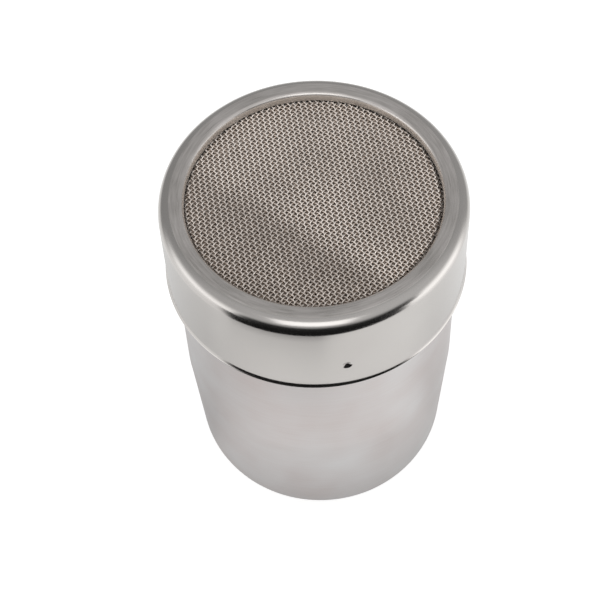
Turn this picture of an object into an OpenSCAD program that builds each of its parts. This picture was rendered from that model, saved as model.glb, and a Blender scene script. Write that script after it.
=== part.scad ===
// Mesh-top spice shaker: a deep-drawn steel cup and a lid of woven wire cloth that drops over its neck.
// Millimetres, Z up. The cup's base stands on Z = 0 at the origin, and the front faces -Y.
// The lid drops on with its dimples in the gaps of the neck's bead, and a short turn locks it.

/* [Cup] */
// Outside diameter of the cup's straight neck
neck_d = 66; // [50:0.5:80]
// Height of the cup, from the base to the rim
cup_h = 94; // [84:0.5:120]
// Thickness of the cup's sheet
cup_wall = 0.6; // [0.4:0.05:0.8]
// Height at which the lower wall starts to draw in
taper_top = 40; // [25:1:66]
// Slope of the lower wall, in degrees from upright
taper_angle = 3.1; // [0:0.1:4]
// Outside radius of the bend from the wall to the base
foot_r = 11; // [6:0.5:16]

/* [Lid] */
// Height of the lid, from the skirt's edge to the top
lid_h = 25; // [22:0.5:34]
// Thickness of the lid's sheet
lid_wall = 0.6; // [0.4:0.05:0.8]
// Outside radius of the lid's shoulder
shoulder_r = 3.4; // [2:0.1:4]
// Width of the lid's top ring, from its outside to the opening
top_ring_w = 5.9; // [5.5:0.1:12]
// Outside radius of the bend from the top ring to the turned-down lip
lip_bend_r = 1.1; // [0.9:0.1:1.6]
// Depth of the mesh below the top of the lid
lip_drop = 2.4; // [1.8:0.1:4]
// Outside radius of the flare at the skirt's edge
flare_r = 1.8; // [1:0.1:2.5]
// How far the flare turns outwards, in degrees
flare_angle = 40; // [20:1:60]

/* [Mesh] */
// Wire of the woven cloth, which lies two wires thick
wire_d = 0.4; // [0.2:0.01:0.45]
// Spacing of the net's bars, drawn coarser than the cloth's wires
net_pitch = 3; // [2.9:0.1:6]
// Width of each bar of the net
net_bar = 0.75; // [0.5:0.05:1.2]
// Turn of the net about the shaker's axis, in degrees
net_turn = 50.5; // [0:0.5:90]
// Radial clearance between the cloth's edge and the skirt
mesh_clear = 1; // [0.8:0.1:3]

/* [Clamp ring] */
// Thickness of the clamp ring's sheet
ring_wall = 0.8; // [0.5:0.05:1]
// Outside radius of the ring's bend
ring_bend_r = 1.2; // [1.1:0.1:1.5]
// Height of the clamp ring, from its leg's edge to its flange
ring_h = 6; // [3:0.5:7]
// Radial clearance between the clamp ring and the skirt
ring_fit = 0.08; // [0.04:0.01:0.1]

/* [Lock] */
// Number of dimples in the skirt, and of gaps in the bead
lock_count = 4; // [2:1:6]
// Angle from the front to the nearest dimple, towards +X
dimple_turn = 8.8; // [0:0.1:45]
// Height of the dimples above the skirt's edge
dimple_up = 8.3; // [5:0.1:9]
// Radius of the round dent outside each dimple
dimple_r = 0.8; // [0.6:0.05:1]
// How far the bead stands out from the neck
bead_out = 1.2; // [1:0.1:1.8]
// Radial clearance between the bead and the skirt
bead_clear = 0.2; // [0.15:0.05:0.5]
// Clearance between the dimples and what they pass
lock_clear = 0.3; // [0.2:0.05:0.5]
// Turn from the gap to the stop, in degrees
lock_turn = 25; // [15:1:28]
// Radius of each round stop at the end of the turn
stop_r = 1.4; // [1:0.1:1.4]
// How far each stop's centre lies below the dimples
stop_drop = 1.2; // [1.1:0.1:1.8]
// Clearance on each side of a dimple as it drops through its gap
gap_clear = 0.6; // [0.3:0.1:1.5]

/* [Hidden] */
$fn = 96;
arc_steps = 12;
over = 1;

neck_r = neck_d / 2;
neck_in = neck_r - cup_wall;
skirt_r = neck_r + bead_out + bead_clear + lid_wall;
skirt_in = skirt_r - lid_wall;
opening_r = skirt_r - top_ring_w;

mesh_low = cup_h + ring_wall;
lip_low = mesh_low + 2 * wire_d;
lid_top = lip_low + lip_drop;
skirt_low = lid_top - lid_h;

dimple_z = skirt_low + dimple_up;
bulge_r = dimple_r + lid_wall;
bead_r = bead_out + cup_wall;
pass_reach = bulge_r + bead_r + lock_clear;
bead_z = dimple_z + sqrt(pass_reach ^ 2 - (skirt_r - neck_in) ^ 2);
gap_angle = 2 * asin((bulge_r + gap_clear) / skirt_r);
bead_run = 360 / lock_count - gap_angle;
first_gap = 270 + dimple_turn;

// A turned dimple ends beside a stop: its bulge is narrower where it is level with the stop's top
stop_top = neck_r + bead_out;
bulge_at_stop = sqrt(bulge_r ^ 2 - (skirt_r - stop_top) ^ 2);
stop_reach = bulge_at_stop + stop_r + lock_clear;
stop_angle = lock_turn + asin(sqrt(stop_reach ^ 2 - stop_drop ^ 2) / stop_top);

// Points along an arc, from one angle to another
function arc(centre, radius, from, to) = [
    for (step = [0 : arc_steps])
        let (a = from + (to - from) * step / arc_steps)
        centre + radius * [cos(a), sin(a)]
];

// Half section of the cup's outer face, from the axis out along the base and up to the rim.
// inset moves it inwards by the sheet's thickness.
function cup_face(inset) =
    let (
        foot_centre = [
            neck_r - (taper_top - foot_r) * tan(taper_angle) - foot_r / cos(taper_angle),
            foot_r
        ]
    )
    concat(
        [[0, inset]],
        arc(foot_centre, foot_r - inset, -90, -taper_angle),
        [[neck_r - inset, taper_top + inset * tan(taper_angle / 2)]],
        [[neck_r - inset, cup_h]]
    );

// The drawn cup: its wall, its base, and the bead and stops pressed out of its neck
module cup() {
    color([0.76, 0.75, 0.74])
    difference() {
        union() {
            rotate_extrude()
                polygon(concat(cup_face(0), [[0, cup_h]]));
            bead_runs(0);
            stops(0);
        }
        rotate_extrude()
            polygon(concat(cup_face(cup_wall), [[neck_in, cup_h + over], [0, cup_h + over]]));
        bead_runs(cup_wall);
        stops(cup_wall);
    }
}

// Runs of round bead between the gaps. inset gives the hollow behind them.
module bead_runs(inset) {
    end = asin(inset / neck_r);
    for (i = [0 : lock_count - 1])
        rotate(first_gap + gap_angle / 2 + end + i * 360 / lock_count)
            translate([0, 0, bead_z])
                rotate_extrude(angle = bead_run - 2 * end)
                    translate([neck_in, 0])
                        circle(r = bead_r - inset);
}

// Round pips in the neck that end the lid's turn. inset gives the hollow behind them.
module stops(inset) {
    start = inset > 0 ? neck_in - over : neck_r - cup_wall / 2;
    for (i = [0 : lock_count - 1])
        rotate(first_gap - stop_angle + i * 360 / lock_count)
            translate([start, 0, dimple_z - stop_drop])
                rotate([0, 90, 0])
                    cylinder(r = stop_r - inset, h = stop_top - inset - start);
}

// The stamped lid: skirt, shoulder, top ring and turned-down lip in one sheet, and its dimples
module lid_shell() {
    color([0.78, 0.77, 0.76])
    difference() {
        union() {
            rotate_extrude()
                polygon(lid_section());
            intersection() {
                dimples(bulge_r);
                cylinder(r = skirt_r - lid_wall / 2, h = lid_top);
            }
        }
        dimples(dimple_r);
    }
}

// Section of the lid's sheet, up the outside and back down the inside
function lid_section() =
    let (
        shoulder_centre = [skirt_r - shoulder_r, lid_top - shoulder_r],
        bend_centre = [opening_r + lip_bend_r, lid_top - lip_bend_r],
        flare_top = skirt_low + (flare_r + lid_wall) * sin(flare_angle),
        flare_centre = [skirt_r + flare_r, flare_top]
    )
    concat(
        arc(flare_centre, flare_r, 180 + flare_angle, 180),
        arc(shoulder_centre, shoulder_r, 0, 90),
        arc(bend_centre, lip_bend_r, 90, 180),
        [[opening_r, lip_low], [opening_r + lid_wall, lip_low]],
        arc(bend_centre, lip_bend_r - lid_wall, 180, 90),
        arc(shoulder_centre, shoulder_r - lid_wall, 90, 0),
        arc(flare_centre, flare_r + lid_wall, 180, 180 + flare_angle)
    );

// Round dents pressed into the skirt, one over each gap of the bead
module dimples(radius) {
    for (i = [0 : lock_count - 1])
        rotate(first_gap + i * 360 / lock_count)
            translate([skirt_r, 0, dimple_z])
                sphere(r = radius);
}

// The wire cloth as a flat net with square gaps
module mesh_screen() {
    reach = ceil(opening_r / net_pitch);
    color([0.60, 0.58, 0.56])
    translate([0, 0, mesh_low])
        rotate(net_turn)
            linear_extrude(2 * wire_d)
                difference() {
                    circle(r = skirt_in - mesh_clear);
                    for (i = [-reach : reach], j = [-reach : reach])
                        if (norm([i, j]) * net_pitch < opening_r)
                            translate([i, j] * net_pitch)
                                square(net_pitch - net_bar, center = true);
                }
}

// The ring under the mesh: a flange that holds the cloth up to the lip, and a leg inside the skirt
module clamp_ring() {
    ring_r = skirt_in - ring_fit;
    bend_centre = [ring_r - ring_bend_r, mesh_low - ring_bend_r];
    color([0.70, 0.69, 0.68])
    rotate_extrude()
        polygon(concat(
            [[ring_r, mesh_low - ring_h]],
            arc(bend_centre, ring_bend_r, 0, 90),
            [[opening_r, mesh_low], [opening_r, cup_h]],
            arc(bend_centre, ring_bend_r - ring_wall, 90, 0),
            [[ring_r - ring_wall, mesh_low - ring_h]]
        ));
}

cup();
lid_shell();
mesh_screen();
clamp_ring();
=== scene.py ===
# Spice shaker: a drawn steel cup under a lift-off lid with a woven wire top.
# Metres throughout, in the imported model's own frame: Z is up and the front faces -Y.
import math

import bpy
from mathutils import Matrix, Vector


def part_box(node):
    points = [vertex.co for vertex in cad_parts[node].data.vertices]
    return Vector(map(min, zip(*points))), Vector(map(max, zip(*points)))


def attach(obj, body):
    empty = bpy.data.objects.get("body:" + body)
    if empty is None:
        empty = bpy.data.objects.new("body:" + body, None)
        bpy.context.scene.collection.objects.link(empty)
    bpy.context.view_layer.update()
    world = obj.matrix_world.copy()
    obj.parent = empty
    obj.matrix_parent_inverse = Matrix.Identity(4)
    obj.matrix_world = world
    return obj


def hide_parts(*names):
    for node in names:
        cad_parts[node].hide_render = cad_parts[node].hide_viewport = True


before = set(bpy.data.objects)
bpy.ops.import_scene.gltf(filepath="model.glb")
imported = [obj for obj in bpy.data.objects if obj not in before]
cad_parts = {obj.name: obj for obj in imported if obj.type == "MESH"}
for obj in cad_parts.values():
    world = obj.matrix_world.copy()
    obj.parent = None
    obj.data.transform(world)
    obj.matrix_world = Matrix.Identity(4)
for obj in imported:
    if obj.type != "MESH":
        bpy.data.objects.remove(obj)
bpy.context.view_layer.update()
mm = 0.001
tiny = 0.01 * mm  # closer than this, two places are the same
noiseSpread = (0.3, 0.7)  # noise seldom leaves these, so they stand for none and all


def leaveEdit():
    if bpy.context.object and bpy.context.object.mode != "OBJECT":
        bpy.ops.object.mode_set(mode="OBJECT")


def makeActive(piece):
    leaveEdit()
    bpy.ops.object.select_all(action="DESELECT")
    piece.select_set(True)
    bpy.context.view_layer.objects.active = piece


def pickVerts(piece, wanted):  # leaves edit mode open with only the wanted vertices selected
    makeActive(piece)
    bpy.ops.object.mode_set(mode="EDIT")
    bpy.ops.mesh.select_mode(type="VERT")
    bpy.ops.mesh.select_all(action="DESELECT")
    bpy.ops.object.mode_set(mode="OBJECT")
    for vert in piece.data.vertices:
        vert.select = wanted(vert.co)
    bpy.ops.object.mode_set(mode="EDIT")


def pickFaces(piece, wanted):
    makeActive(piece)
    bpy.ops.object.mode_set(mode="EDIT")
    bpy.ops.mesh.select_mode(type="FACE")
    bpy.ops.mesh.select_all(action="DESELECT")
    bpy.ops.object.mode_set(mode="OBJECT")
    for face in piece.data.polygons:
        face.select = wanted(face)
    bpy.ops.object.mode_set(mode="EDIT")


def addModifier(piece, kind, **settings):
    modifier = piece.modifiers.new(kind.title(), kind)
    for key, value in settings.items():
        setattr(modifier, key, value)
    makeActive(piece)
    bpy.ops.object.modifier_apply(modifier=modifier.name)


def arcRings(centreRadius, centreHeight, radius, fromAngle, toAngle, steps):
    # rings (radius, height) along an arc of the section, with angles in degrees
    angles = [math.radians(fromAngle + (toAngle - fromAngle) * i / steps) for i in range(steps + 1)]
    return [(centreRadius + radius * math.cos(a), centreHeight + radius * math.sin(a)) for a in angles]


def drawUp(name, rings, segments):
    # turns a section into a sheet: a circle, extruded ring by ring and sized to each one
    radius, height = rings[0]
    bpy.ops.object.select_all(action="DESELECT")
    bpy.ops.mesh.primitive_circle_add(vertices=segments, radius=radius, enter_editmode=True)
    piece = bpy.context.object
    piece.name = piece.data.name = name
    bpy.ops.transform.translate(value=(0, 0, height))
    for nextRadius, nextHeight in rings[1:]:
        bpy.ops.mesh.extrude_edges_move(TRANSFORM_OT_translate={"value": (0, 0, nextHeight - height)})
        growth = nextRadius / radius
        bpy.ops.transform.resize(value=(growth, growth, 1), center_override=(0, 0, 0))
        radius, height = nextRadius, nextHeight
    leaveEdit()
    return piece


def faceOutwards(piece):
    # an open sheet gets its thickness inwards, so its widest faces must look away from the axis
    widest = max(piece.data.polygons, key=lambda face: face.center.xy.length)
    if widest.normal.xy.dot(widest.center.xy) < 0:
        makeActive(piece)
        bpy.ops.object.mode_set(mode="EDIT")
        bpy.ops.mesh.select_all(action="SELECT")
        bpy.ops.mesh.flip_normals()
        leaveEdit()


def thicken(piece, thickness, edgeRound, insideMaterial=0):
    addModifier(piece, "SOLIDIFY", thickness=thickness, offset=-1, use_even_offset=True,
                use_quality_normals=True, material_offset=insideMaterial)
    addModifier(piece, "BEVEL", width=edgeRound, segments=3, limit_method="ANGLE",
                angle_limit=math.radians(60))
    makeActive(piece)
    bpy.ops.object.shade_smooth_by_angle(angle=math.radians(50))


def finishPiece(piece, body, node):
    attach(piece, body)
    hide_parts(node)


def linear(hexColour):  # an sRGB hex value as the linear colour that a socket takes
    parts = [int(hexColour[i:i + 2], 16) / 255 for i in (1, 3, 5)]
    return tuple(p / 12.92 if p <= 0.04045 else ((p + 0.055) / 1.055) ** 2.4 for p in parts) + (1,)


def newMaterial(name):
    material = bpy.data.materials.new(name)
    material.use_nodes = True
    material.node_tree.nodes.clear()
    return material, material.node_tree


def addNode(tree, kind, inputs=None, links=None, **settings):
    node = tree.nodes.new("ShaderNode" + kind)
    for key, value in settings.items():
        setattr(node, key, value)
    for key, value in (inputs or {}).items():
        node.inputs[key].default_value = value
    for key, socket in (links or {}).items():
        tree.links.new(socket, node.inputs[key])
    return node


def ramp(low, high, atLow, atHigh):  # the inputs of a map range node
    return {1: low, 2: high, 3: atLow, 4: atHigh}


def turnedCoordinates(tree, along, across):
    # object coordinates wound round the axis: slow round the piece, quick up it and outwards
    place = addNode(tree, "TexCoord").outputs["Object"]
    split = addNode(tree, "SeparateXYZ", links={0: place})
    radius = addNode(tree, "VectorMath", operation="LENGTH", links={
        0: addNode(tree, "CombineXYZ", links={0: split.outputs[0], 1: split.outputs[1]}).outputs[0]})
    angle = addNode(tree, "Math", operation="ARCTAN2", links={0: split.outputs[1], 1: split.outputs[0]})
    slow = addNode(tree, "Math", operation="MULTIPLY", inputs={1: along}, links={0: angle.outputs[0]})
    up = addNode(tree, "Math", operation="MULTIPLY", inputs={1: across}, links={0: split.outputs[2]})
    out = addNode(tree, "Math", operation="MULTIPLY", inputs={1: across},
                  links={0: radius.outputs["Value"]})
    wound = addNode(tree, "CombineXYZ", links={0: slow.outputs[0], 1: up.outputs[0], 2: out.outputs[0]})
    return wound.outputs[0], place


def steel(name, look):
    # look: colour and roughness from and to, how metallic, the grain's size and depth, the clouds' size
    material, tree = newMaterial(name)
    wound, place = turnedCoordinates(tree, look["grainTurns"], 1 / look["grainWidth"])
    grain = addNode(tree, "TexNoise", inputs={"Scale": 1.0, "Detail": 3.0, "Roughness": 0.6},
                    links={"Vector": wound})
    cloud = addNode(tree, "TexNoise", inputs={"Scale": 1 / look["cloudSize"], "Detail": 2.0},
                    links={"Vector": place})
    both = addNode(tree, "Mix", data_type="FLOAT", inputs={0: look["cloudShare"]},
                   links={2: grain.outputs["Fac"], 3: cloud.outputs["Fac"]})
    spread = addNode(tree, "MapRange", inputs=ramp(*noiseSpread, 0, 1), links={0: both.outputs[0]})
    tint = addNode(tree, "Mix", data_type="RGBA", links={0: spread.outputs[0]},
                   inputs={6: linear(look["low"]), 7: linear(look["high"])})
    rough = addNode(tree, "MapRange", inputs=ramp(0, 1, look["smooth"], look["rough"]),
                    links={0: spread.outputs[0]})
    bump = addNode(tree, "Bump", links={"Height": grain.outputs["Fac"]},
                   inputs={"Strength": look["grainStrength"], "Distance": look["grainDepth"]})
    shader = addNode(tree, "BsdfPrincipled", inputs={"Metallic": look.get("metal", 1.0)}, links={
        "Base Color": tint.outputs[2], "Roughness": rough.outputs[0], "Normal": bump.outputs[0]})
    addNode(tree, "OutputMaterial", links={"Surface": shader.outputs[0]})
    return material


cupLook = {  # satin stainless steel, drawn and polished on a spindle: soft grey, faint rings round it
    "low": "#BAB1AF", "high": "#CDCCCC", "smooth": 0.28, "rough": 0.40,
    "grainTurns": 3.0, "grainWidth": 0.35 * mm, "grainStrength": 0.25, "grainDepth": 0.02 * mm,
    "cloudSize": 20 * mm, "cloudShare": 0.75,
}
insideLook = {  # the same sheet inside, pale and matt as the press left it: it only spreads the light
    "low": "#E8E1DA", "high": "#F2ECE6", "smooth": 0.55, "rough": 0.75, "metal": 0.4,
    "grainTurns": 3.0, "grainWidth": 0.5 * mm, "grainStrength": 0.2, "grainDepth": 0.02 * mm,
    "cloudSize": 15 * mm, "cloudShare": 0.5,
}

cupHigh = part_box("cup")[1]
lidLow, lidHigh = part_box("lid_shell")

cup = {
    "neckRadius": 33 * mm,
    "wall": 0.6 * mm,
    "rim": cupHigh.z,
    "taperTop": 40 * mm,
    "taperAngle": 3.1,
    "footRadius": 11 * mm,
    "baseRings": (0.1, 0.4, 0.7, 0.95),  # as shares of the flat base's radius
    "taperRings": (20 * mm, 30 * mm, 38 * mm),
    "taperCorner": (0.02 * mm, 39.3 * mm),  # in from the neck and up: it softens the corner
    "neckRings": (41 * mm, 50 * mm, 60 * mm, 70 * mm),
    "lastRing": 89 * mm,
    "beadOut": cupHigh.x - 33 * mm,
    "dimpleTurn": 8.8,
    "dimpleHeight": lidLow.z + 8.3 * mm,
    "beadHeight": 83.64 * mm,
    "beadSteps": 10,
    "aboveBead": 0.4 * mm,
    "ringGap": 0.05 * mm,  # two rings never lie closer
    "gapAngle": 6.6,
    "stopRadius": 1.4 * mm,
    "stopShares": (0.95, 0.75, 0.55),  # a stop is pushed out in steps, over these shares of its radius
    "stopTurn": 29.3,
    "stopDrop": 1.2 * mm,
    "locks": 4,
    "segments": 256,
    "edgeRound": 0.2 * mm,
}


def nearLine(place, centre, outward, reach):  # within reach of a line out through a centre, on its side
    return (place - centre).cross(outward).length < reach and place.dot(outward) > 0


def turnFrom(place, start):  # degrees from a start angle round to a point, 0 to 360
    return (math.degrees(math.atan2(place.y, place.x)) - start) % 360


def buildCup():
    size = cup
    neck = size["neckRadius"]
    slope = math.radians(size["taperAngle"])
    foot = size["footRadius"]
    footCentre = neck - (size["taperTop"] - foot) * math.tan(slope) - foot / math.cos(slope)
    rings = [(footCentre * share, 0) for share in size["baseRings"]]
    rings += arcRings(footCentre, foot, foot, -90, -size["taperAngle"], steps=20)
    rings += [(neck - (size["taperTop"] - z) * math.tan(slope), z) for z in size["taperRings"]]
    cornerInset, cornerHeight = size["taperCorner"]
    rings += [(neck - cornerInset, cornerHeight), *((neck, z) for z in size["neckRings"])]
    stopHeight = size["dimpleHeight"] - size["stopDrop"]
    stopStep = size["stopRadius"] / 4
    rings += [(neck, stopHeight - size["stopRadius"] + stopStep * i) for i in range(-1, 9)]
    beadRadius = size["beadOut"] + size["wall"]
    tipAngle = math.acos(size["wall"] / beadRadius)
    steps = size["beadSteps"]
    beadHeights = [size["beadHeight"] + beadRadius * math.sin(tipAngle * (2 * i / steps - 1))
                   for i in range(steps + 1)]
    rings += [(neck, z) for z in beadHeights if z > rings[-1][1] + size["ringGap"]]
    rings += [(neck, beadHeights[-1] + size["aboveBead"]), (neck, size["lastRing"]), (neck, size["rim"])]
    piece = drawUp("cupBody", rings, size["segments"])

    firstGap = 270 + size["dimpleTurn"]
    pitch = 360 / size["locks"]

    def inRun(co):
        fromGap = turnFrom(co, firstGap) % pitch
        return size["gapAngle"] / 2 < fromGap < pitch - size["gapAngle"] / 2

    for z in sorted({height for radius, height in rings}):
        if abs(z - size["beadHeight"]) < beadRadius * math.sin(tipAngle) - tiny:
            reach = math.sqrt(beadRadius ** 2 - (z - size["beadHeight"]) ** 2) - size["wall"]
            growth = (neck + reach) / neck
            pickVerts(piece, lambda co: abs(co.z - z) < tiny and inRun(co))
            bpy.ops.transform.resize(value=(growth, growth, 1), center_override=(0, 0, 0))

    # the round stops that end the lid's turn
    for i in range(size["locks"]):
        turn = math.radians(firstGap + i * pitch - size["stopTurn"])
        outward = Vector((math.cos(turn), math.sin(turn), 0))
        centre = outward * neck + Vector((0, 0, stopHeight))
        for share in size["stopShares"]:
            reach = size["stopRadius"] * share
            pickVerts(piece, lambda co: nearLine(co, centre, outward, reach))
            bpy.ops.transform.translate(value=outward * size["beadOut"] / len(size["stopShares"]))

    # the base is closed by one face
    innerRing = rings[0][0]
    pickVerts(piece, lambda co: co.z < tiny and co.xy.length < innerRing + tiny)
    bpy.ops.mesh.edge_face_add()
    leaveEdit()
    faceOutwards(piece)
    piece.data.materials.append(steel("satinDrawnSteel", cupLook))
    piece.data.materials.append(steel("dullDrawnSteel", insideLook))
    thicken(piece, size["wall"], size["edgeRound"], insideMaterial=1)
    finishPiece(piece, "cup", "cup")
    return piece


cupBody = buildCup()
print("cup built:", len(cupBody.data.polygons), "faces")


skirtLook = {  # stainless steel polished after stamping: a clear reflection, only just softened
    "low": "#B6B2AF", "high": "#BDBAB7", "smooth": 0.17, "rough": 0.23,
    "grainTurns": 4.0, "grainWidth": 0.3 * mm, "grainStrength": 0.08, "grainDepth": 0.01 * mm,
    "cloudSize": 18 * mm, "cloudShare": 0.7,
}
ringLook = {  # the same steel brushed round on the flat ring: warm grey with fine circles
    "low": "#B4B0AC", "high": "#E0DBD8", "smooth": 0.25, "rough": 0.38,
    "grainTurns": 6.0, "grainWidth": 0.30 * mm, "grainStrength": 0.5, "grainDepth": 0.02 * mm,
    "cloudSize": 9 * mm, "cloudShare": 0.4,
}
lipLook = {  # the lip's wall under a thin film of fine spice dust: matt and a little warm
    "low": "#C6BEB6", "high": "#D8D0C8", "smooth": 0.40, "rough": 0.55, "metal": 0.65,
    "grainTurns": 6.0, "grainWidth": 0.28 * mm, "grainStrength": 0.2, "grainDepth": 0.02 * mm,
    "cloudSize": 5 * mm, "cloudShare": 0.6,
}

lid = {
    "skirtRadius": 35 * mm,
    "wall": 0.6 * mm,
    "low": lidLow.z,
    "top": lidHigh.z,
    "shoulderRadius": 3.4 * mm,
    "topRingWidth": 5.9 * mm,
    "bendRadius": 1.1 * mm,
    "lipDrop": lidHigh.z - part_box("mesh_screen")[1].z,
    "flareRadius": 1.8 * mm,
    "flareAngle": 40,
    "skirtRings": (76 * mm, 86 * mm, 89 * mm, 92 * mm),
    "dimpleReach": 1.25 * mm,
    "dimpleDepth": 0.6 * mm,
    "dimpleArea": 1.3,  # what is cut finer, in reaches of the dimple
    "dimpleCuts": 5,
    "dimpleLevels": 10,
    "polishedShare": 0.75,  # of the shoulder's radius: the ring's brushing starts further in
    "ringFacesUp": 0.5,
    "lipEdge": 0.1 * mm,  # faces this close to the opening are the lip's wall
    "segments": 256,
    "edgeRound": 0.15 * mm,
}


def pressDimple(piece, centre, outward):
    # cuts the sheet finer round one spot and pushes a soft round dent into it, ring by ring
    reach, levels = lid["dimpleReach"], lid["dimpleLevels"]
    pickFaces(piece, lambda face: (face.center - centre).length < reach * lid["dimpleArea"])
    bpy.ops.mesh.subdivide(number_cuts=lid["dimpleCuts"])
    for level in range(levels):
        share = (level + 0.5) / levels
        ring = reach * math.sqrt(1 - math.sqrt(share))
        pickVerts(piece, lambda co: nearLine(co, centre, outward, ring))
        bpy.ops.transform.translate(value=-outward * lid["dimpleDepth"] / levels)
    pickVerts(piece, lambda co: nearLine(co, centre, outward, reach))
    bpy.ops.mesh.vertices_smooth(factor=0.5, repeat=6)


def buildLidShell():
    size = lid
    skirt = size["skirtRadius"]
    opening = skirt - size["topRingWidth"]
    bendCentre = (opening + size["bendRadius"], size["top"] - size["bendRadius"])
    flareReach = size["flareRadius"] + size["wall"]
    flareTop = size["low"] + flareReach * math.sin(math.radians(size["flareAngle"]))
    rings = arcRings(skirt + size["flareRadius"], flareTop, size["flareRadius"],
                     180 + size["flareAngle"], 180, steps=8)
    dimpleHeight = cup["dimpleHeight"]
    dimpleRings = [dimpleHeight + size["dimpleReach"] * step / 2 for step in range(-4, 5)]
    rings += [(skirt, z) for z in sorted((*size["skirtRings"], *dimpleRings))]
    rings += arcRings(skirt - size["shoulderRadius"], size["top"] - size["shoulderRadius"],
                      size["shoulderRadius"], 0, 90, steps=20)
    rings += arcRings(*bendCentre, size["bendRadius"], 90, 180, steps=10)
    rings += [(opening, size["top"] - size["lipDrop"])]
    piece = drawUp("lidShell", rings, size["segments"])
    for i in range(cup["locks"]):
        turn = math.radians(270 + cup["dimpleTurn"] + i * 360 / cup["locks"])
        outward = Vector((math.cos(turn), math.sin(turn), 0))
        pressDimple(piece, outward * skirt + Vector((0, 0, dimpleHeight)), outward)
    leaveEdit()
    faceOutwards(piece)
    thicken(piece, size["wall"], size["edgeRound"])
    piece.data.materials.append(steel("polishedStampedSteel", skirtLook))
    piece.data.materials.append(steel("ringBrushedSteel", ringLook))
    piece.data.materials.append(steel("dustyLipSteel", lipLook))
    bendTo = opening + size["bendRadius"]
    ringTo = skirt - size["shoulderRadius"] * size["polishedShare"]
    for face in piece.data.polygons:
        reach = face.center.xy.length
        onLip = reach < opening + size["lipEdge"]
        onRing = reach < ringTo and face.normal.z > (0 if reach < bendTo else size["ringFacesUp"])
        face.material_index = 2 if onLip else 1 if onRing else 0
    finishPiece(piece, "lid_turn", "lid_shell")
    return piece


lidShell = buildLidShell()
print("lid shell built:", len(lidShell.data.polygons), "faces")


clampLook = {  # plain rolled steel strip, bent and left as it came: dull, even grey
    "low": "#B8B6B4", "high": "#C2C0BE", "smooth": 0.34, "rough": 0.48,
    "grainTurns": 2.0, "grainWidth": 0.3 * mm, "grainStrength": 0.3, "grainDepth": 0.02 * mm,
    "cloudSize": 12 * mm, "cloudShare": 0.5,
}

clampLow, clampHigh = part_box("clamp_ring")
clamp = {
    "outside": clampHigh.x,
    "inside": lid["skirtRadius"] - lid["topRingWidth"],
    "low": clampLow.z,
    "top": clampHigh.z,
    "wall": 0.8 * mm,
    "bendRadius": 1.2 * mm,
    "segments": 192,
    "edgeRound": 0.2 * mm,
}


def buildClampRing():
    size = clamp
    rings = [(size["outside"], size["low"]), (size["outside"], (size["low"] + size["top"]) / 2)]
    rings += arcRings(size["outside"] - size["bendRadius"], size["top"] - size["bendRadius"],
                      size["bendRadius"], 0, 90, steps=8)
    rings += [(size["inside"], size["top"])]
    piece = drawUp("clampRing", rings, size["segments"])
    faceOutwards(piece)
    thicken(piece, size["wall"], size["edgeRound"])
    piece.data.materials.append(steel("rolledStripSteel", clampLook))
    finishPiece(piece, "lid_lift", "clamp_ring")
    return piece


clampRing = buildClampRing()
print("clamp ring built:", len(clampRing.data.polygons), "faces")


clothLow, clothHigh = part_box("mesh_screen")
cloth = {
    "wire": (clothHigh.z - clothLow.z) / 2,  # the cloth lies two wires thick
    "pitch": 0.91 * mm,
    "turn": 50.5,
    "reach": 31 * mm,  # the rest of the disc lies clamped between the lip and the ring
    "middle": (clothLow.z + clothHigh.z) / 2,
    "pairShift": 0.07,  # the loom's reed holds wires in pairs, so they lie a little closer two by two
    "sides": 6,
    "cutsPerCrossing": 4,
    "wander": 0.05 * mm,
    "wanderSize": 7 * mm,
}

wireLook = {  # bright stainless wire pulled through a die: a thin gleam along it, duller where it rubs, with painted shade and painted light laid over the cloth
    "warp": {"colour": "#FCF4ED", "dull": "#D0C7C0", "smooth": 0.40, "rough": 0.56},
    # painted shade: the weft's colours are a little darker than the warp's, for the wires that catch less
    # light
    "weft": {"colour": "#F7EDE5", "dull": "#CBC2BB", "smooth": 0.44, "rough": 0.60},
    "cloudSize": 0.8 * mm,
    "patchSize": 22 * mm,
    "patchShare": 0.5,
    "wearAndShadeEnds": (0.30, 0.62),
    "across": (0.636, 0.772, 0),  # square to the weft: the cloth gets painted shade on one side of a line along it, and painted light on the other
    "paintedShadeEdge": (-10.5 * mm, -5.5 * mm),
    "paintedShadeSide": -0.24,
    "paintedLightSide": 0.21,
    "paintedLightLean": -4.0,  # per metre: the painted light fades a little
    "paintedCreaseShade": "#2A2522",  # painted shade: a dark line on the cloth under the lip, where the crease between lip and cloth falls into shade
    "creaseShadeShare": 0.75,
    "creaseShadeFrom": (28.35 * mm, 28.7 * mm),
    "creaseShadeLean": (0.005, -0.022, 0),  # the painted shade line is wider to the front, and faint at the back
}


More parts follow.
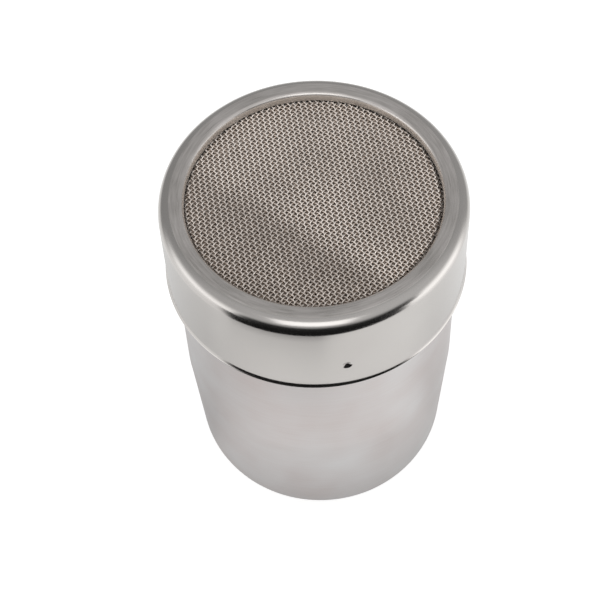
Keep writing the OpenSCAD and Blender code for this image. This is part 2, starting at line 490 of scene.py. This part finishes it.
def wireSteel(name, look):
    material, tree = newMaterial(name)
    place = addNode(tree, "TexCoord").outputs["Object"]
    cloud = addNode(tree, "TexNoise", inputs={"Scale": 1 / wireLook["cloudSize"], "Detail": 2.0},
                    links={"Vector": place})
    patch = addNode(tree, "TexNoise", inputs={"Scale": 1 / wireLook["patchSize"], "Detail": 1.0},
                    links={"Vector": place})
    # painted shade and painted light: the cloth is darker on one side of a line along the weft, lighter
    # on the other
    across = addNode(tree, "VectorMath", operation="DOT_PRODUCT", inputs={1: wireLook["across"]},
                     links={0: place}).outputs["Value"]
    edge = addNode(tree, "MapRange", links={0: across},
                   inputs=ramp(*wireLook["paintedShadeEdge"], wireLook["paintedShadeSide"], wireLook["paintedLightSide"]))
    side = addNode(tree, "Math", operation="MULTIPLY_ADD", inputs={1: wireLook["paintedLightLean"]},
                   links={0: across, 2: edge.outputs[0]})
    patchesAndPaintedShade = addNode(tree, "Math", operation="ADD", links={0: patch.outputs["Fac"], 1: side.outputs[0]})
    both = addNode(tree, "Mix", data_type="FLOAT", inputs={0: wireLook["patchShare"]},
                   links={2: cloud.outputs["Fac"], 3: patchesAndPaintedShade.outputs[0]})
    # random wear together with the painted shade and light sets the colour and roughness
    wearAndPaintedShade = addNode(tree, "MapRange", inputs=ramp(*wireLook["wearAndShadeEnds"], 0, 1), links={0: both.outputs[0]})
    tint = addNode(tree, "Mix", data_type="RGBA", links={0: wearAndPaintedShade.outputs[0]},
                   inputs={6: linear(look["dull"]), 7: linear(look["colour"])})
    rough = addNode(tree, "MapRange", inputs=ramp(0, 1, look["rough"], look["smooth"]),
                    links={0: wearAndPaintedShade.outputs[0]})
    # painted shade: a dark line round the cloth's edge under the lip, in the crease
    flat = addNode(tree, "VectorMath", operation="MULTIPLY", inputs={1: (1, 1, 0)}, links={0: place})
    radius = addNode(tree, "VectorMath", operation="LENGTH", links={0: flat.outputs[0]}).outputs["Value"]
    lean = addNode(tree, "VectorMath", operation="DOT_PRODUCT", inputs={1: wireLook["creaseShadeLean"]},
                   links={0: place}).outputs["Value"]
    leaned = addNode(tree, "Math", operation="ADD", links={0: radius, 1: lean}).outputs[0]
    crease = addNode(tree, "MapRange", inputs=ramp(*wireLook["creaseShadeFrom"], 0, wireLook["creaseShadeShare"]),
                     links={0: leaned})
    creaseShaded = addNode(tree, "Mix", data_type="RGBA", inputs={7: linear(wireLook["paintedCreaseShade"])},
                    links={0: crease.outputs[0], 6: tint.outputs[2]})
    shader = addNode(tree, "BsdfPrincipled", inputs={"Metallic": 1.0},
                     links={"Base Color": creaseShaded.outputs[2], "Roughness": rough.outputs[0]})
    addNode(tree, "OutputMaterial", links={"Surface": shader.outputs[0]})
    return material


def weave(name, rise, turn, look):
    # one family of wires: a crimped wave, repeated along and across, and cut to the round
    size = cloth
    pitch, step = size["pitch"], size["pitch"] / size["cutsPerCrossing"]
    waves = math.ceil(size["reach"] / (2 * pitch)) + 1
    bpy.ops.object.select_all(action="DESELECT")
    bpy.ops.mesh.primitive_circle_add(vertices=size["sides"], radius=size["wire"] / 2,
                                      rotation=(0, math.pi / 2, 0))
    piece = bpy.context.object
    piece.name = piece.data.name = name
    bpy.ops.object.transform_apply(rotation=True)
    bpy.ops.object.mode_set(mode="EDIT")
    bpy.ops.mesh.select_all(action="SELECT")
    bpy.ops.transform.translate(value=(-2 * waves * pitch, -2 * waves * pitch, rise))
    for i in range(2 * size["cutsPerCrossing"]):
        climb = [rise * math.cos(math.pi * (i + k) / size["cutsPerCrossing"]) for k in (0, 1)]
        bpy.ops.mesh.extrude_edges_move(TRANSFORM_OT_translate={"value": (step, 0, climb[1] - climb[0])})
    leaveEdit()
    addModifier(piece, "ARRAY", count=2 * waves, use_relative_offset=False, use_constant_offset=True,
                constant_offset_displace=(2 * pitch, 0, 0), use_merge_vertices=True,
                merge_threshold=tiny)
    makeActive(piece)
    bpy.ops.object.mode_set(mode="EDIT")
    bpy.ops.mesh.select_all(action="SELECT")
    bpy.ops.mesh.duplicate_move(TRANSFORM_OT_translate={
        "value": (pitch, pitch * (1 - size["pairShift"]), 0)})
    leaveEdit()
    addModifier(piece, "ARRAY", count=2 * waves, use_relative_offset=False, use_constant_offset=True,
                constant_offset_displace=(0, 2 * pitch, 0))

    def outside(co):  # by whole rings of a wire, so that each cut is square
        ring, wire = round(co.x / step) * step, round(co.y / pitch) * pitch
        return math.hypot(ring, wire) > size["reach"]

    pickVerts(piece, outside)
    bpy.ops.mesh.delete(type="VERT")
    bpy.ops.mesh.select_all(action="SELECT")
    bpy.ops.mesh.fill_holes(sides=size["sides"])
    bpy.ops.mesh.select_all(action="SELECT")
    bpy.ops.mesh.normals_make_consistent(inside=False)
    leaveEdit()
    waviness = bpy.data.textures.new(name + "Wander", "CLOUDS")
    waviness.noise_scale = size["wanderSize"]
    addModifier(piece, "DISPLACE", texture=waviness, direction="Y", strength=size["wander"],
                mid_level=0.5, texture_coords="LOCAL")
    piece.rotation_euler = (0, 0, math.radians(turn))
    piece.location = (0, 0, size["middle"])
    makeActive(piece)
    bpy.ops.object.transform_apply(location=True, rotation=True)
    bpy.ops.object.shade_smooth()
    piece.data.materials.append(wireSteel("drawnWire" + name[-4:], look))
    finishPiece(piece, "lid_turn", "mesh_screen")
    return piece


wireWarp = weave("wireWarp", cloth["wire"] / 2, cloth["turn"], wireLook["warp"])
wireWeft = weave("wireWeft", -cloth["wire"] / 2, cloth["turn"] + 90, wireLook["weft"])
print("wire cloth built:", len(wireWarp.data.polygons) + len(wireWeft.data.polygons), "faces")


studio = {
    "floorColour": "#BFBFBE",
    "floorGlow": 0.74,
    "floorSize": 8,
    "floorDrop": 0.05 * mm,
    "world": 0.74,
    "tentRadius": 1.4,
    "seenFrom": 0.1,  # the height of the lid, from where the tent's directions are reckoned
    "behindLevel": 0.46,
    "overLevel": 0.72,
    "roofTurn": (-0.1, 0.4),  # the roof's level changes from over to behind between these
    "rightGain": 0.07,  # how much brighter the tent is to the right
    "panelLevel": 1.15,  # what the lit side walls add
    "panelTop": (0.0, 0.50),  # the sines of the heights between which they fade
    "panelLean": 0.1,  # to the right the lit wall ends lower
    "floorRightGain": 0.16,
    "openingLevel": 0.015,
    "openingTop": (0.20, 0.52),
    "openingLean": -0.08,  # above the floor the opening reaches further round to the right
    "darkFloorLean": 0.05,
    "darkFloorTurn": (0, 0.8, 1, 0.45),  # to the right the dark floor starts further out
    "matFrom": 22 * mm,
    "matHeight": 0.5 * mm,
    "matGlow": (108 * mm, 118 * mm),  # inside these radii the mat only darkens
    "matGain": 0.9,
    "footShade": 0.52,
    "footShadeEnds": (26 * mm, 56 * mm),
    "sideShade": 0.48,
    "sideShadeEnds": (43 * mm, 125 * mm),
    "sideShadeTurn": (-0.9, -0.2),  # none in front of these, as minus the cosine of the turn
    "rightRelief": 0.13,  # the shade is weaker on the right
    "reliefTurn": (-0.5, 0.5),
    "darkFloor": (94 * mm, 102 * mm),
    "brightFloor": (120 * mm, 400 * mm),
    "brightFloorLean": 0.25,  # to the right the bright floor starts nearer
    "backFloor": (150 * mm, 700 * mm),
    "frontEdge": (-0.65, -0.51),  # the tent opens in front of these, as minus the cosine of the turn
    "backEdge": (0.0, 0.45),  # and its side walls end between these
    "lampPlace": (-0.05, -0.68, 0.82),
    "lampAim": (0, 0, 0.09),
    "lampSize": (0.66, 0.50),
    "lampPower": 1.45,
}


def directionFrom(tree, height):
    # the direction of a point as seen from a height on the axis, split into right, back and up
    place = addNode(tree, "TexCoord").outputs["Object"]
    moved = addNode(tree, "VectorMath", operation="SUBTRACT", inputs={1: (0, 0, height)},
                    links={0: place})
    unit = addNode(tree, "VectorMath", operation="NORMALIZE", links={0: moved.outputs[0]})
    return addNode(tree, "SeparateXYZ", links={0: unit.outputs[0]}).outputs


def tentMaterial():
    # white cloth lit from outside: dim behind, lit walls low at both sides, dark where it opens in front
    material, tree = newMaterial("tentCloth")
    right, back, up = directionFrom(tree, studio["seenFrom"])
    roof = addNode(tree, "MapRange", links={0: back}, inputs=ramp(
        *studio["roofTurn"], studio["overLevel"], studio["behindLevel"])).outputs[0]
    tilted = addNode(tree, "Math", operation="MULTIPLY_ADD", inputs={1: studio["rightGain"]},
                     links={0: right, 2: roof}).outputs[0]
    leanedUp = addNode(tree, "Math", operation="MULTIPLY_ADD", inputs={1: studio["panelLean"]},
                       links={0: right, 2: up}).outputs[0]
    low = addNode(tree, "MapRange", interpolation_type="SMOOTHSTEP", links={0: leanedUp},
                  inputs=ramp(*studio["panelTop"], studio["panelLevel"], 0)).outputs[0]
    beside = addNode(tree, "MapRange", interpolation_type="SMOOTHSTEP",
                     inputs=ramp(*studio["backEdge"], 1, 0), links={0: back}).outputs[0]
    panel = addNode(tree, "Math", operation="MULTIPLY", links={0: low, 1: beside}).outputs[0]
    level = addNode(tree, "Math", operation="ADD", links={0: tilted, 1: panel}).outputs[0]
    leaned = addNode(tree, "Math", operation="MULTIPLY_ADD", inputs={1: studio["openingLean"]},
                     links={0: right, 2: back}).outputs[0]
    before = addNode(tree, "MapRange", interpolation_type="SMOOTHSTEP",
                     inputs=ramp(*studio["frontEdge"], 1, 0), links={0: leaned}).outputs[0]
    under = addNode(tree, "MapRange", interpolation_type="SMOOTHSTEP",
                    inputs=ramp(*studio["openingTop"], 1, 0), links={0: up}).outputs[0]
    opening = addNode(tree, "Math", operation="MULTIPLY", links={0: before, 1: under}).outputs[0]
    seen = addNode(tree, "Mix", data_type="FLOAT", inputs={3: studio["openingLevel"]},
                   links={0: opening, 2: level}).outputs[0]
    glow = addNode(tree, "Emission", links={"Strength": seen})
    addNode(tree, "OutputMaterial", links={"Surface": glow.outputs[0]})
    return material


def matMaterial():
    # what the metal sees of the floor: shade round the foot, dark in front, bright towards the side walls
    material, tree = newMaterial("floorMat")
    right, back = directionFrom(tree, 0)[:2]
    place = addNode(tree, "TexCoord").outputs["Object"]
    radius = addNode(tree, "VectorMath", operation="LENGTH", links={0: place}).outputs["Value"]
    leaned = addNode(tree, "Math", operation="MULTIPLY_ADD", inputs={1: studio["darkFloorLean"]},
                     links={0: right, 2: back}).outputs[0]
    before = addNode(tree, "MapRange", interpolation_type="SMOOTHSTEP",
                     inputs=ramp(*studio["frontEdge"], 1, 0), links={0: leaned}).outputs[0]
    behind = addNode(tree, "MapRange", interpolation_type="SMOOTHSTEP",
                     inputs=ramp(*studio["backEdge"], 0, 1), links={0: back}).outputs[0]
    darkTurn = addNode(tree, "MapRange", inputs=ramp(*studio["darkFloorTurn"]),
                       links={0: right}).outputs[0]
    darkRadius = addNode(tree, "Math", operation="MULTIPLY", links={0: radius, 1: darkTurn}).outputs[0]
    darkShare = addNode(tree, "MapRange", inputs=ramp(*studio["darkFloor"], 0, 1),
                        links={0: darkRadius}).outputs[0]
    brightTurn = addNode(tree, "Math", operation="MULTIPLY_ADD", links={0: right},
                         inputs={1: studio["brightFloorLean"], 2: 1}).outputs[0]
    brightRadius = addNode(tree, "Math", operation="MULTIPLY",
                           links={0: radius, 1: brightTurn}).outputs[0]
    brightShare = addNode(tree, "MapRange", inputs=ramp(*studio["brightFloor"], 0, 1),
                          links={0: brightRadius}).outputs[0]
    backShare = addNode(tree, "MapRange", inputs=ramp(*studio["backFloor"], 0, 1),
                        links={0: radius}).outputs[0]
    share = addNode(tree, "Mix", data_type="FLOAT",
                    links={0: before, 2: brightShare, 3: darkShare}).outputs[0]
    share = addNode(tree, "Mix", data_type="FLOAT",
                    links={0: behind, 2: share, 3: backShare}).outputs[0]
    sideLevel = studio["overLevel"] + studio["panelLevel"]
    level = addNode(tree, "Mix", data_type="FLOAT", inputs={2: sideLevel, 3: studio["openingLevel"]},
                    links={0: before}).outputs[0]
    level = addNode(tree, "Mix", data_type="FLOAT", inputs={3: studio["behindLevel"]},
                    links={0: behind, 2: level}).outputs[0]
    footShade = addNode(tree, "MapRange", inputs=ramp(*studio["footShadeEnds"], studio["footShade"], 0),
                        links={0: radius}).outputs[0]
    sideFall = addNode(tree, "MapRange", inputs=ramp(*studio["sideShadeEnds"], studio["sideShade"], 0),
                       links={0: radius}).outputs[0]
    sideTurn = addNode(tree, "MapRange", inputs=ramp(*studio["sideShadeTurn"], 0, 1),
                       links={0: back}).outputs[0]
    relief = addNode(tree, "MapRange", inputs=ramp(*studio["reliefTurn"], 0, studio["rightRelief"]),
                     links={0: right}).outputs[0]
    sideShade = addNode(tree, "Math", operation="MULTIPLY", links={0: sideFall, 1: sideTurn}).outputs[0]
    sideShade = addNode(tree, "Math", operation="SUBTRACT", links={0: sideShade, 1: relief}).outputs[0]
    for shade in (footShade, sideShade):
        share = addNode(tree, "Math", operation="MAXIMUM", links={0: share, 1: shade}).outputs[0]
    beyond = addNode(tree, "MapRange", inputs=ramp(*studio["matGlow"], 0, 1),
                     links={0: radius}).outputs[0]
    rightGain = addNode(tree, "Math", operation="MULTIPLY_ADD", links={0: right},
                        inputs={1: studio["floorRightGain"], 2: studio["matGain"]}).outputs[0]
    for gain in (beyond, rightGain):
        level = addNode(tree, "Math", operation="MULTIPLY", links={0: level, 1: gain}).outputs[0]
    clear = addNode(tree, "BsdfTransparent")
    glow = addNode(tree, "Emission", links={"Strength": level})
    mixed = addNode(tree, "MixShader", links={0: share, 1: clear.outputs[0], 2: glow.outputs[0]})
    addNode(tree, "OutputMaterial", links={"Surface": mixed.outputs[0]})
    return material


def seenDirectly(tree):
    # 1 for rays that show the background itself: to the camera, in a reflection or through glass
    path = addNode(tree, "LightPath").outputs
    seen = path["Is Camera Ray"]
    for ray in ("Is Glossy Ray", "Is Transmission Ray"):
        seen = addNode(tree, "Math", operation="MAXIMUM", links={0: seen, 1: path[ray]}).outputs[0]
    return seen


def buildFloor():
    bpy.ops.object.select_all(action="DESELECT")
    bpy.ops.mesh.primitive_plane_add(size=studio["floorSize"], location=(0, 0, -studio["floorDrop"]))
    floor = bpy.context.object
    floor.name = "floor"
    material, tree = newMaterial("whiteTable")
    glowLevel = addNode(tree, "Math", operation="MULTIPLY", inputs={1: studio["floorGlow"]},
                        links={0: seenDirectly(tree)}).outputs[0]
    glow = addNode(tree, "Emission", links={"Strength": glowLevel})
    matt = addNode(tree, "BsdfDiffuse", inputs={"Color": linear(studio["floorColour"])})
    added = addNode(tree, "AddShader", links={0: matt.outputs[0], 1: glow.outputs[0]})
    addNode(tree, "OutputMaterial", links={"Surface": added.outputs[0]})
    floor.data.materials.append(material)


def onlyReflected(piece):
    piece.visible_camera = False
    piece.visible_diffuse = False
    piece.visible_shadow = False
    piece.visible_transmission = False


def buildTent():
    # bright metal is photographed in a cloth tent, which only shows in its reflections
    bpy.ops.object.select_all(action="DESELECT")
    bpy.ops.mesh.primitive_uv_sphere_add(segments=48, ring_count=24, radius=studio["tentRadius"])
    tent = bpy.context.object
    tent.name = "tent"
    pickFaces(tent, lambda face: face.center.z < 0)
    bpy.ops.mesh.delete(type="FACE")
    leaveEdit()
    tent.data.materials.append(tentMaterial())
    onlyReflected(tent)
    rings = [(radius, studio["matHeight"]) for radius in (studio["matFrom"], studio["tentRadius"])]
    mat = drawUp("floorMat", rings, segments=96)
    mat.data.materials.append(matMaterial())
    onlyReflected(mat)


def addLamp(name, place, aim, size, power):
    lampData = bpy.data.lights.new(name, "AREA")
    lampData.shape = "RECTANGLE"
    lampData.size, lampData.size_y = size
    lampData.energy = power
    lamp = bpy.data.objects.new(name, lampData)
    bpy.context.scene.collection.objects.link(lamp)
    lamp.location = place
    lamp.rotation_euler = (Vector(aim) - Vector(place)).to_track_quat("-Z", "Y").to_euler()
    lamp.visible_camera = False


def lightStudio():
    world = bpy.context.scene.world or bpy.data.worlds.new("studio")
    bpy.context.scene.world = world
    world.use_nodes = True
    tree = world.node_tree
    tree.nodes.clear()
    level = addNode(tree, "Mix", data_type="FLOAT", inputs={2: studio["world"], 3: 1.0},
                    links={0: seenDirectly(tree)}).outputs[0]
    background = addNode(tree, "Background", inputs={"Color": (1, 1, 1, 1)}, links={"Strength": level})
    addNode(tree, "OutputWorld", links={"Surface": background.outputs[0]})
    addLamp("softboxFront", studio["lampPlace"], studio["lampAim"], studio["lampSize"],
            studio["lampPower"])


buildFloor()
buildTent()
lightStudio()
print("studio built")


camera = {
    "place": (-4.228 * mm, -219.398 * mm, 393.516 * mm),
    "tilt": 90 - 57.027,
    "roll": -3.074,
    "lens": 99,
    "sensor": 36,
    "clip": (0.01, 20),
}

cameraData = bpy.data.cameras.new("camera")
cameraData.lens = camera["lens"]
cameraData.sensor_width = camera["sensor"]
cameraData.clip_start, cameraData.clip_end = camera["clip"]
cameraObject = bpy.data.objects.new("camera", cameraData)
bpy.context.scene.collection.objects.link(cameraObject)
cameraObject.matrix_world = (Matrix.Translation(camera["place"])
                             @ Matrix.Rotation(math.radians(camera["tilt"]), 4, "X")
                             @ Matrix.Rotation(math.radians(camera["roll"]), 4, "Z"))
bpy.context.scene.camera = cameraObject
bpy.context.scene.view_settings.view_transform = "Standard"
